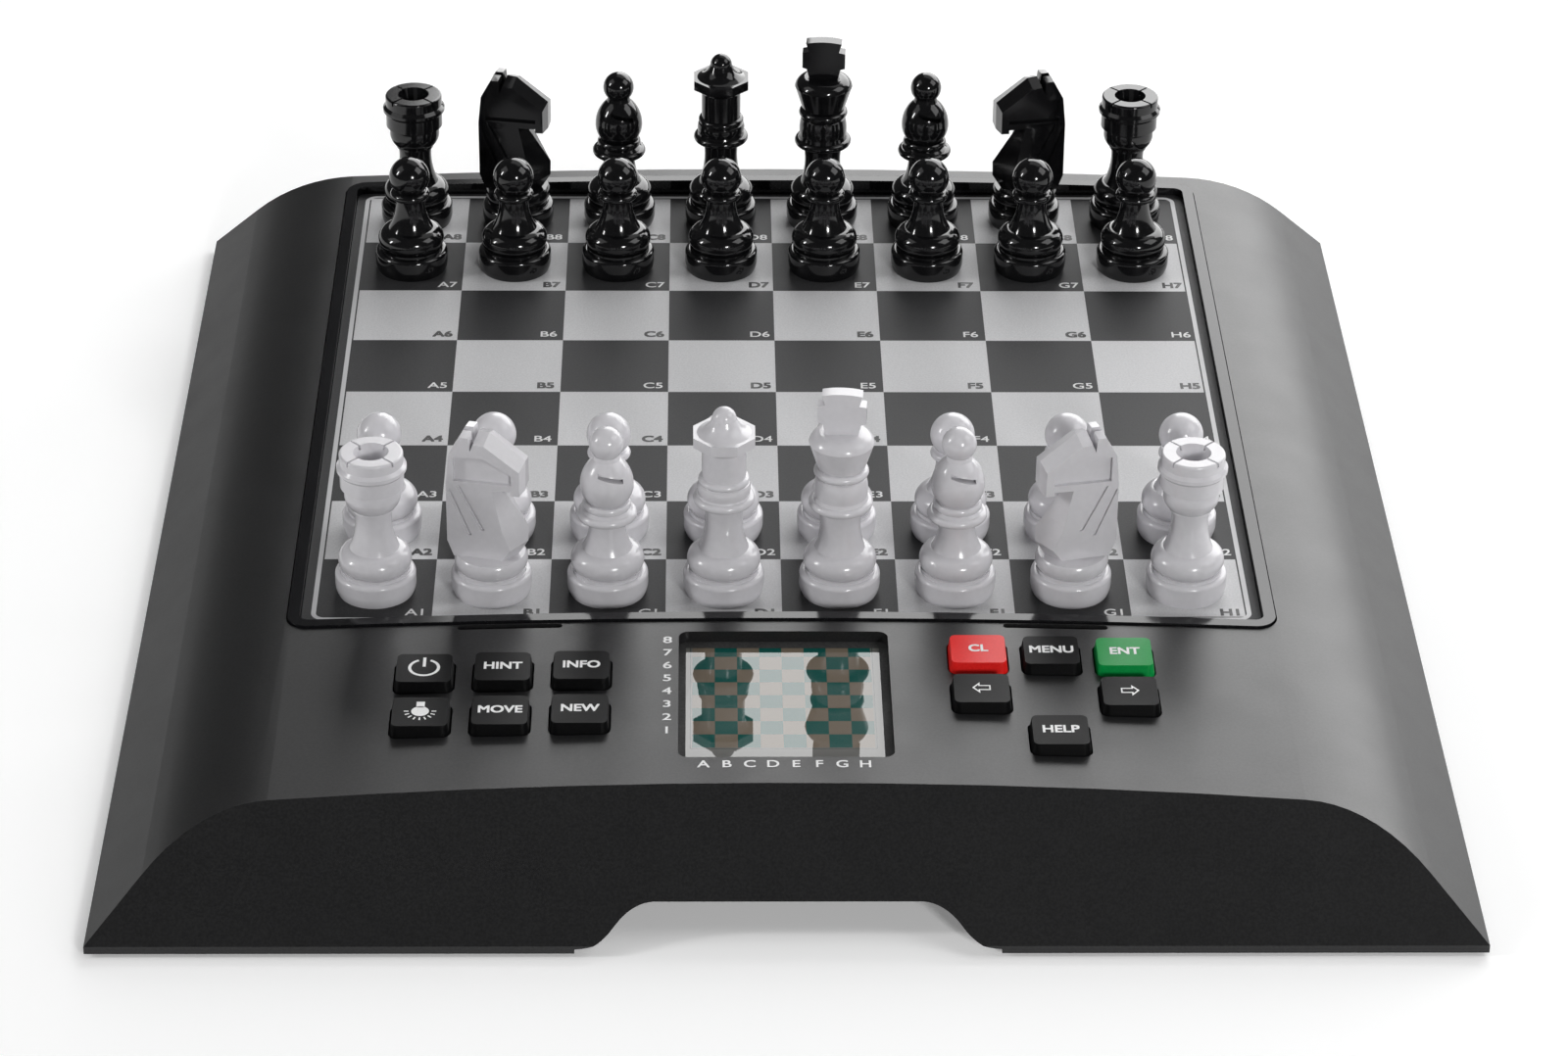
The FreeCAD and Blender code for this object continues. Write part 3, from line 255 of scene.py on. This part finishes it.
def spread(tree, value, low, high, start=0.35, end=0.65):
    """Maps a noise value onto a range."""
    item = add(tree, "MapRange")
    for name, number in (("From Min", start), ("From Max", end), ("To Min", low), ("To Max", high)):
        item.inputs[name].default_value = number
    link(tree, value, item.inputs["Value"])
    return item.outputs["Result"]


def bump(tree, shader, height, strength, distance):
    item = add(tree, "Bump")
    item.inputs["Strength"].default_value = strength
    item.inputs["Distance"].default_value = distance
    link(tree, height, item.inputs["Height"])
    link(tree, item.outputs["Normal"], shader.inputs["Normal"])


def surface(name, dark, light, rough, grain, bumps, **constants):
    """A moulded or coated material: its colour, roughness and bump vary with a fine and a broad grain."""
    material, tree, shader = new_material(name)
    fine = noise(tree, grain, FINE_DETAIL)
    broad = noise(tree, grain * BROAD_SHARE, BROAD_DETAIL)
    link(tree, mix_colour(tree, spread(tree, fine, 0.0, 1.0), dark, light), shader.inputs["Base Color"])
    link(tree, spread(tree, broad, *rough), shader.inputs["Roughness"])
    bump(tree, shader, fine, *bumps)
    for socket, value in constants.items():
        shader.inputs[socket.replace("_", " ")].default_value = value
    return material


def rounded_distance(tree, x, y, half, corner):
    """Signed distance from a rounded rectangle, inside below nought."""
    out_x = math_node(tree, "SUBTRACT", math_node(tree, "ABSOLUTE", x), half[0] - corner)
    out_y = math_node(tree, "SUBTRACT", math_node(tree, "ABSOLUTE", y), half[1] - corner)
    past_x = math_node(tree, "MAXIMUM", out_x, 0.0)
    past_y = math_node(tree, "MAXIMUM", out_y, 0.0)
    squared = math_node(tree, "ADD", math_node(tree, "MULTIPLY", past_x, past_x),
                        math_node(tree, "MULTIPLY", past_y, past_y))
    inner = math_node(tree, "MINIMUM", math_node(tree, "MAXIMUM", out_x, out_y), 0.0)
    reach = math_node(tree, "ADD", math_node(tree, "SQRT", squared), inner)
    return math_node(tree, "SUBTRACT", reach, corner)


def outside_of(tree, x, y, half, corner):
    return math_node(tree, "GREATER_THAN", rounded_distance(tree, x, y, half, corner), 0.0)


def on_line_of(tree, x, y, half, corner, half_width):
    edge = rounded_distance(tree, x, y, half, corner)
    return math_node(tree, "LESS_THAN", math_node(tree, "ABSOLUTE", edge), half_width)


def plane_coordinates(tree, centre_x, centre_y):
    coordinates = add(tree, "TexCoord")
    parts = add(tree, "SeparateXYZ")
    link(tree, coordinates.outputs["Object"], parts.inputs[0])
    return (math_node(tree, "SUBTRACT", parts.outputs[0], centre_x),
            math_node(tree, "SUBTRACT", parts.outputs[1], centre_y))


def chequers(tree, x, y, pitch_x, pitch_y):
    """One on every other field, and nought on the field that has the origin as its near left corner."""
    column = math_node(tree, "FLOOR", math_node(tree, "DIVIDE", x, pitch_x))
    line = math_node(tree, "FLOOR", math_node(tree, "DIVIDE", y, pitch_y))
    return math_node(tree, "FLOORED_MODULO", math_node(tree, "ADD", column, line), 2.0)


def board_material():
    material, tree, shader = new_material("board_print")
    x, y = plane_coordinates(tree, 0.0, BOARD_Y)
    fine = noise(tree, BOARD_GRAIN, FINE_DETAIL)
    speck = spread(tree, fine, 0.0, 1.0, *BOARD_SPECK)
    dark = mix_colour(tree, speck, *BOARD_DARK)
    pale = mix_colour(tree, speck, *BOARD_PALE)
    squares = mix_colour(tree, chequers(tree, x, y, SQUARE, SQUARE), dark, pale)
    margin = mix_colour(tree, outside_of(tree, x, y, FIELDS_HALF, FIELDS_CORNER), squares, BOARD_MARGIN)
    on_line = on_line_of(tree, x, y, LINE_HALF, LINE_CORNER, LINE_HALF_WIDTH)
    link(tree, mix_colour(tree, on_line, margin, BOARD_LINE), shader.inputs["Base Color"])
    link(tree, spread(tree, fine, *BOARD_ROUGH), shader.inputs["Roughness"])
    shader.inputs["Specular IOR Level"].default_value = BOARD_SPECULAR
    bump(tree, shader, fine, *BOARD_BUMP)
    return material


def display_material(name, rough, coat):
    """The display's fields, bare on the panel or seen through the glossy window."""
    material, tree, shader = new_material(name)
    x, y = plane_coordinates(tree, *DISPLAY_CENTRE)
    fields = mix_colour(tree, chequers(tree, x, y, *DISPLAY_PITCH), DISPLAY_GREEN, DISPLAY_BROWN)
    ground = mix_colour(tree, outside_of(tree, x, y, DISPLAY_HALF, DISPLAY_CORNER), fields, DISPLAY_GROUND)
    on_line = on_line_of(tree, x, y, DISPLAY_LINE_HALF, DISPLAY_LINE_CORNER, DISPLAY_LINE_HALF_WIDTH)
    lined = mix_colour(tree, on_line, ground, DISPLAY_LINE)
    grain = noise(tree, DISPLAY_GRAIN, DISPLAY_DETAIL)
    speck = spread(tree, grain, 0.0, DISPLAY_SPECK_SHARE)
    link(tree, mix_colour(tree, speck, lined, DISPLAY_SPECK), shader.inputs["Base Color"])
    link(tree, spread(tree, grain, *rough), shader.inputs["Roughness"])
    shader.inputs["Specular IOR Level"].default_value = 0.0
    shader.inputs["Coat Weight"].default_value = coat
    shader.inputs["Coat Roughness"].default_value = GLASS_COAT_ROUGH
    shader.inputs["Coat IOR"].default_value = GLASS_IOR
    return material


CASE = surface("case_plastic", dark=(0.010, 0.010, 0.0105), light=(0.017, 0.017, 0.0175), rough=(0.35, 0.38),
               grain=1900.0, bumps=(0.15, 0.00003), Specular_IOR_Level=0.42)
BASE = surface("base_plastic", dark=(0.006, 0.006, 0.007), light=(0.011, 0.011, 0.012), rough=(0.46, 0.52),
               grain=1900.0, bumps=(0.15, 0.00003))
GLOSS = surface("frame_gloss", dark=(0.006, 0.006, 0.007), light=(0.010, 0.010, 0.011), rough=(0.10, 0.13),
                grain=900.0, bumps=(0.01, 0.00001), Specular_IOR_Level=0.3)
WHITE = surface("white_moulded", dark=(0.625, 0.615, 0.64), light=(0.645, 0.635, 0.66), rough=(0.19, 0.22),
                grain=700.0, bumps=(0.01, 0.000005))
BLACK = surface("black_moulded", dark=(0.004, 0.004, 0.0045), light=(0.006, 0.006, 0.0065),
                rough=(0.10, 0.12), grain=700.0, bumps=(0.01, 0.000005))
KEY = surface("key_black", dark=(0.002, 0.002, 0.0022), light=(0.004, 0.004, 0.0043), rough=(0.42, 0.46),
              grain=2400.0, bumps=(0.15, 0.00003), Specular_IOR_Level=0.12)
KEY_RED = surface("key_red", dark=(0.78, 0.012, 0.010), light=(0.84, 0.017, 0.014), rough=(0.36, 0.40),
                  grain=2400.0, bumps=(0.1, 0.00003), Specular_IOR_Level=0.25)
KEY_GREEN = surface("key_green", dark=(0.0, 0.27, 0.05), light=(0.002, 0.30, 0.06), rough=(0.36, 0.40),
                    grain=2400.0, bumps=(0.1, 0.00003), Specular_IOR_Level=0.2)
RUBBER = surface("rubber", dark=(0.02, 0.02, 0.02), light=(0.035, 0.035, 0.035), rough=(0.7, 0.85),
                 grain=1500.0, bumps=(0.2, 0.00004))
MASK = surface("solder_mask", dark=(0.012, 0.13, 0.045), light=(0.018, 0.17, 0.06), rough=(0.3, 0.4),
               grain=600.0, bumps=(0.05, 0.00002))
RIBBON = surface("ribbon_film", dark=(0.55, 0.55, 0.52), light=(0.66, 0.66, 0.62), rough=(0.4, 0.5),
                 grain=500.0, bumps=(0.05, 0.00002))
STEEL = surface("plated_steel", dark=(0.50, 0.50, 0.51), light=(0.60, 0.60, 0.61), rough=(0.22, 0.36),
                grain=1200.0, bumps=(0.08, 0.00002), Metallic=1.0)
WRAP = surface("cell_wrap", dark=(0.06, 0.06, 0.065), light=(0.09, 0.09, 0.095), rough=(0.25, 0.35),
               grain=500.0, bumps=(0.03, 0.00001))
INK_WHITE = surface("ink_white", dark=(0.80, 0.80, 0.80), light=(0.88, 0.88, 0.88), rough=(0.45, 0.55),
                    grain=3000.0, bumps=(0.05, 0.00001))
INK_PALE = surface("ink_pale", dark=(0.62, 0.62, 0.62), light=(0.70, 0.70, 0.70), rough=(0.45, 0.55),
                   grain=3000.0, bumps=(0.05, 0.00001))
INK_BLACK = surface("ink_black", dark=(0.004, 0.004, 0.004), light=(0.008, 0.008, 0.008), rough=(0.45, 0.55),
                    grain=3000.0, bumps=(0.05, 0.00001))

FINISH = {"top_shell": CASE, "bottom_shell": BASE, "battery_door": BASE, "board_frame": GLOSS,
          "board_sheet": board_material(), "sensor_board": MASK, "main_circuit_board": MASK,
          "lcd_window": display_material("window_over_display", rough=(0.02, 0.05), coat=1.0),
          "lcd_panel": display_material("display_fields", rough=(0.3, 0.4), coat=0.0),
          "key_mat": RUBBER, "rubber_feet": RUBBER, "sensor_ribbon": RIBBON,
          "buzzer": KEY, "battery_cells": WRAP, "battery_contacts": STEEL, "case_screws": STEEL,
          "key_clear": KEY_RED, "key_enter": KEY_GREEN}


def finish_of(name):
    if name in FINISH:
        return FINISH[name]
    if name.startswith("white_"):
        return WHITE
    if name.startswith("black_"):
        return BLACK
    return KEY


def soften(piece, width):
    """A small rounding on the edges, as moulded plastic has."""
    weld = piece.modifiers.new("weld", "WELD")
    weld.merge_threshold = WELD_REACH
    bevel = piece.modifiers.new("soft_edges", "BEVEL")
    bevel.width = width
    bevel.segments = BEVEL_STEPS
    bevel.limit_method = "ANGLE"
    bevel.angle_limit = math.radians(SHARP_ANGLE)
    bevel.harden_normals = True


def dress_nodes():
    for name, piece in NODES.items():
        piece.data.materials.clear()
        piece.data.materials.append(finish_of(name))
        if name.startswith("key_") and name != "key_mat":
            soften(piece, KEY_ROUNDING)


# Flat shapes

def rectangle(low, high):
    return [(low[0], low[1]), (high[0], low[1]), (high[0], high[1]), (low[0], high[1])]


def band_between(outer, inner):
    """Quads between two like outlines, one inside the other."""
    quads = []
    for index in range(len(outer)):
        after = (index + 1) % len(outer)
        quads.append([outer[index], outer[after], inner[after], inner[index]])
    return quads


def flat_mesh(outlines):
    """Flat faces, one for each outline of (x, y) points."""
    mesh = bpy.data.meshes.new("mark")
    points, faces = [], []
    for outline in outlines:
        faces.append(list(range(len(points), len(points) + len(outline))))
        points += [(x, y, 0.0) for x, y in outline]
    mesh.from_pydata(points, [], faces)
    return mesh


# Knights: heads that are carved finer than on the solids, on the solids' own bases

def layered(*layers):
    """A closed mesh through like outlines of (across, up) points, each at its depth."""
    count = len(layers[0][1])
    points = [(across, depth, up) for depth, outline in layers for across, up in outline]
    faces = [list(range(count)), list(range(len(points) - 1, len(points) - count - 1, -1))]
    for start in range(0, len(points) - count, count):
        for index in range(count):
            after = (index + 1) % count
            faces.append([start + index, start + count + index, start + count + after, start + after])
    mesh = bpy.data.meshes.new("layered")
    mesh.from_pydata(points, [], faces)
    return mesh


def knight_head():
    """The carved head, cut from a plate whose chest and nose run out to a ridge."""
    plate = layered((-HEAD_HALF, HEAD_NEAR), (0.0, HEAD_MIDDLE), (HEAD_HALF, HEAD_NEAR))
    holder = add_object("head", plate)
    ear_gap = rectangle(EAR_GAP_LOW, EAR_GAP_HIGH)
    cuts = [layered((-EAR_GAP_HALF, ear_gap), (EAR_GAP_HALF, ear_gap))]
    for outline, sunk in [(CHEEK, CHEEK_SUNK)] + [(groove, MANE_SUNK) for groove in MANE]:
        cuts.append(layered((-2 * HEAD_HALF, outline), (sunk - HEAD_HALF, outline)))
        cuts.append(layered((HEAD_HALF - sunk, outline), (2 * HEAD_HALF, outline)))
    cutters = [add_object("cut", cut) for cut in cuts]
    for cutter in cutters:
        modifier = holder.modifiers.new("cut", "BOOLEAN")
        modifier.operation = "DIFFERENCE"
        modifier.solver = "EXACT"
        modifier.object = cutter
    mesh = final_mesh(holder)
    for item in cutters + [holder]:
        data = item.data
        bpy.data.objects.remove(item)
        bpy.data.meshes.remove(data)
    mesh.transform(Matrix.Diagonal((MILLIMETRE, MILLIMETRE, MILLIMETRE, 1.0)))
    return mesh


def carved_knight(colour, column, head):
    node = "%s_knight_%s" % (colour, column)
    place = square_middle(FILES.index(column.upper()), HOME_RANKS[colour])
    base = NODES[node].data.copy()
    base.transform(NODES[node].matrix_world)
    joined = bmesh.new()
    joined.from_mesh(base)
    bmesh.ops.remove_doubles(joined, verts=joined.verts, dist=WELD_REACH)
    cut = bmesh.ops.bisect_plane(joined, geom=joined.verts[:] + joined.edges[:] + joined.faces[:],
                                 plane_co=place + Vector((0.0, 0.0, KNIGHT_BASE_TOP * MILLIMETRE)),
                                 plane_no=(0.0, 0.0, 1.0), clear_outer=True)
    rim = [item for item in cut["geom_cut"] if isinstance(item, bmesh.types.BMEdge)]
    bmesh.ops.holes_fill(joined, edges=rim)
    top = head.copy()
    top.transform(Matrix.Translation(place) @ Matrix.Rotation(math.radians(KNIGHT_TURN[column]), 4, "Z"))
    joined.from_mesh(top)
    data = bpy.data.meshes.new("carved_" + node)
    joined.to_mesh(data)
    joined.free()
    for spare in (base, top):
        bpy.data.meshes.remove(spare)
    data.materials.clear()
    data.materials.append(finish_of(node))
    data.shade_smooth()
    data.set_sharp_from_angle(angle=math.radians(SHARP_ANGLE))
    piece = add_object("carved_" + node, data)
    soften(piece, KNIGHT_ROUNDING)
    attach(piece, node)
    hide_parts(node)


def carved_knights():
    head = knight_head()
    for colour in HOME_RANKS:
        for column in KNIGHT_FILES:
            carved_knight(colour, column, head)
    bpy.data.meshes.remove(head)


# Prints and lettering

def text_mesh(text, size, stretch, bold):
    """Flat letters about their middle, as a new mesh, struck four times a little to each side.

    Each strike lies a layer of ink above the last, because faces in one plane render black."""
    curve = bpy.data.curves.new("letters", "FONT")
    curve.body = text
    curve.size = size
    curve.align_x = "CENTER"
    curve.align_y = "CENTER"
    curve.resolution_u = LETTER_STEPS
    holder = add_object("letters", curve)
    mesh = final_mesh(holder)
    bpy.data.objects.remove(holder)
    bpy.data.curves.remove(curve)
    mesh.transform(Matrix.Diagonal((stretch, 1.0, 1.0, 1.0)))
    struck = bmesh.new()
    aside = bold * size
    for layer, (right, up) in enumerate([(-aside, -aside), (-aside, aside), (aside, -aside), (aside, aside)]):
        copy = mesh.copy()
        copy.transform(Matrix.Translation((right, up, layer * INK_LAYER)))
        struck.from_mesh(copy)
        bpy.data.meshes.remove(copy)
    struck.to_mesh(mesh)
    struck.free()
    return mesh


def print_on(name, meshes, ink, body):
    """Several flat marks, each a mesh and its place, joined to one piece on a body."""
    joined = bmesh.new()
    for mesh, place in meshes:
        mesh.transform(Matrix.Translation(place))
        joined.from_mesh(mesh)
        bpy.data.meshes.remove(mesh)
    data = bpy.data.meshes.new(name)
    joined.to_mesh(data)
    joined.free()
    data.materials.append(ink)
    piece = add_object(name, data)
    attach(piece, body)


def board_labels():
    """File and rank in the near right corner of every square: pale on dark squares and dark on pale ones."""
    on_dark, on_pale = [], []
    for column in range(len(FILES)):
        for rank in range(len(FILES)):
            pale_square = (column + rank) % 2
            text = "%s%d" % (FILES[column], rank + 1)
            mesh = text_mesh(text, *BOARD_LETTER, BOLD_ON_PALE if pale_square else BOLD_ON_DARK)
            mark = (mesh, square_middle(column, rank) + BOARD_LABEL_SHIFT)
            (on_pale if pale_square else on_dark).append(mark)
    print_on("board_labels_pale", on_dark, INK_PALE, "casing")
    print_on("board_labels_dark", on_pale, INK_BLACK, "casing")


def on_crown(x, y):
    """A place just above the arched top of the casing."""
    return Vector((x, y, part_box("top_shell")[1].z - x * x / (2 * CROWN_RADIUS) + PRINT_LIFT))


def display_labels():
    marks = []
    for step in range(len(FILES)):
        place = on_crown(RANK_LABEL_X, TOP_RANK_LABEL_Y - DISPLAY_PITCH[1] * step)
        marks.append((text_mesh("%d" % (len(FILES) - step), *RANK_LETTER), place))
        place = on_crown(FIRST_FILE_LABEL_X + DISPLAY_PITCH[0] * step, FILE_LABEL_Y)
        marks.append((text_mesh(FILES[step], *FILE_LETTER), place))
    print_on("display_labels", marks, INK_WHITE, "casing")


def arc_band(inner, outer, start, end):
    """Quads along a ring between two angles in degrees, from straight up and clockwise."""
    quads = []
    for step in range(ARC_STEPS):
        corners = []
        for radius, share in ((inner, step), (outer, step), (outer, step + 1), (inner, step + 1)):
            angle = math.radians(start + (end - start) * share / ARC_STEPS)
            corners.append((radius * math.sin(angle), radius * math.cos(angle)))
        quads.append(corners[::-1])
    return quads


def power_sign():
    ring = arc_band(*POWER_RING, POWER_OPENING, 360.0 - POWER_OPENING)
    return flat_mesh(ring + [rectangle(POWER_BAR_LOW, POWER_BAR_HIGH)])


def lamp_sign():
    """A hanging bulb with rays round its lower half."""
    bulb = []
    for step in range(BULB_SIDES):
        angle = math.radians(360.0 * step / BULB_SIDES)
        bulb.append((BULB_RADIUS * math.cos(angle), BULB_RADIUS * math.sin(angle)))
    shapes = [rectangle(SOCKET_LOW, SOCKET_HIGH), bulb]
    for step in range(RAYS):
        angle = math.radians(180.0 + RAY_STEP * step)
        along = Vector((math.cos(angle), math.sin(angle)))
        side = Vector((-along.y, along.x)) * RAY_HALF_WIDTH
        near, far = along * RAY_REACH[0], along * RAY_REACH[1]
        shapes.append([tuple(near - side), tuple(far - side), tuple(far + side), tuple(near + side)])
    return flat_mesh(shapes)


def arrow_sign(way):
    """Outline of a block arrow that points left for 1 and right for -1."""
    quads = band_between(ARROW_OUTER, ARROW_INNER)
    return flat_mesh([[(ARROW_WIDER * way * x, ARROW_TALLER * y) for x, y in quad][::-way] for quad in quads])


def key_legends():
    signs = {"power": power_sign(), "light": lamp_sign(), "back": arrow_sign(1), "forward": arrow_sign(-1)}
    words = {name: text_mesh(word, *KEY_LETTER) for name, word in KEY_WORDS.items()}
    for name, mesh in {**words, **signs}.items():
        low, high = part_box("key_" + name)
        middle = Vector(((low.x + high.x) / 2, (low.y + high.y) / 2 + KEY_PRINT_SHIFT, high.z + PRINT_LIFT))
        print_on("legend_" + name, [(mesh, middle)], INK_WHITE, "key_" + name)


def display_gasket():
    """A dull black ring on the window that frames the glass which can be seen."""
    low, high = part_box("lcd_window")
    ring = band_between(rectangle(low, high), rectangle(GLASS_LOW, GLASS_HIGH))
    place = Vector((0.0, 0.0, high.z + PRINT_LIFT))
    print_on("display_gasket", [(flat_mesh(ring), place)], RUBBER, "casing")


# Camera, floor and light

def add_camera():
    data = bpy.data.cameras.new("camera")
    data.sensor_fit = "HORIZONTAL"
    data.sensor_width = SENSOR_WIDTH
    data.lens = LENS
    data.clip_start, data.clip_end = CLIP
    place = Matrix((CAMERA_RIGHT, -CAMERA_DOWN, -CAMERA_AHEAD)).transposed().to_4x4()
    place.translation = CAMERA_PLACE
    camera = add_object("camera", data)
    camera.matrix_world = place
    bpy.context.scene.camera = camera


def seen_ray(tree):
    """One for rays from the camera, in mirrors and through glass."""
    path = add(tree, "LightPath")
    seen = math_node(tree, "MAXIMUM", path.outputs["Is Camera Ray"], path.outputs["Is Glossy Ray"])
    return math_node(tree, "MAXIMUM", seen, path.outputs["Is Transmission Ray"])


def add_floor():
    mesh = flat_mesh([rectangle((-FLOOR_HALF, -FLOOR_HALF), (FLOOR_HALF, FLOOR_HALF))])
    floor = add_object("floor", mesh)
    material, tree, shader = new_material("floor_paper")
    shader.inputs["Base Color"].default_value = FLOOR_COLOUR
    shader.inputs["Roughness"].default_value = 1.0
    shader.inputs["Specular IOR Level"].default_value = 0.0
    shader.inputs["Emission Color"].default_value = WHITE_LIGHT
    link(tree, math_node(tree, "MULTIPLY", seen_ray(tree), FLOOR_GLOW), shader.inputs["Emission Strength"])
    mesh.materials.append(material)


def add_lamp(name, direction, distance, width, depth, radiance):
    """A soft box that faces the middle of the board."""
    data = bpy.data.lights.new(name, "AREA")
    data.shape = "RECTANGLE"
    data.size = width
    data.size_y = depth
    data.energy = radiance * math.pi * width * depth
    lamp = add_object(name, data)
    aim = Vector(direction).normalized()
    lamp.location = Vector((0.0, BOARD_Y, BOARD_Z)) + aim * distance
    lamp.rotation_euler = aim.to_track_quat("Z", "Y").to_euler()


def add_world():
    world = bpy.data.worlds.new("studio")
    world.use_nodes = True
    world.node_tree.nodes["Background"].inputs["Color"].default_value = WORLD_COLOUR
    bpy.context.scene.world = world


dress_nodes()
carved_knights()
board_labels()
display_labels()
display_gasket()
key_legends()
add_camera()
add_floor()
add_world()
for lamp_name, lamp_values in LAMPS.items():
    add_lamp(lamp_name, *lamp_values)

bpy.context.scene.view_settings.view_transform = "Standard"
bpy.context.view_layer.update()
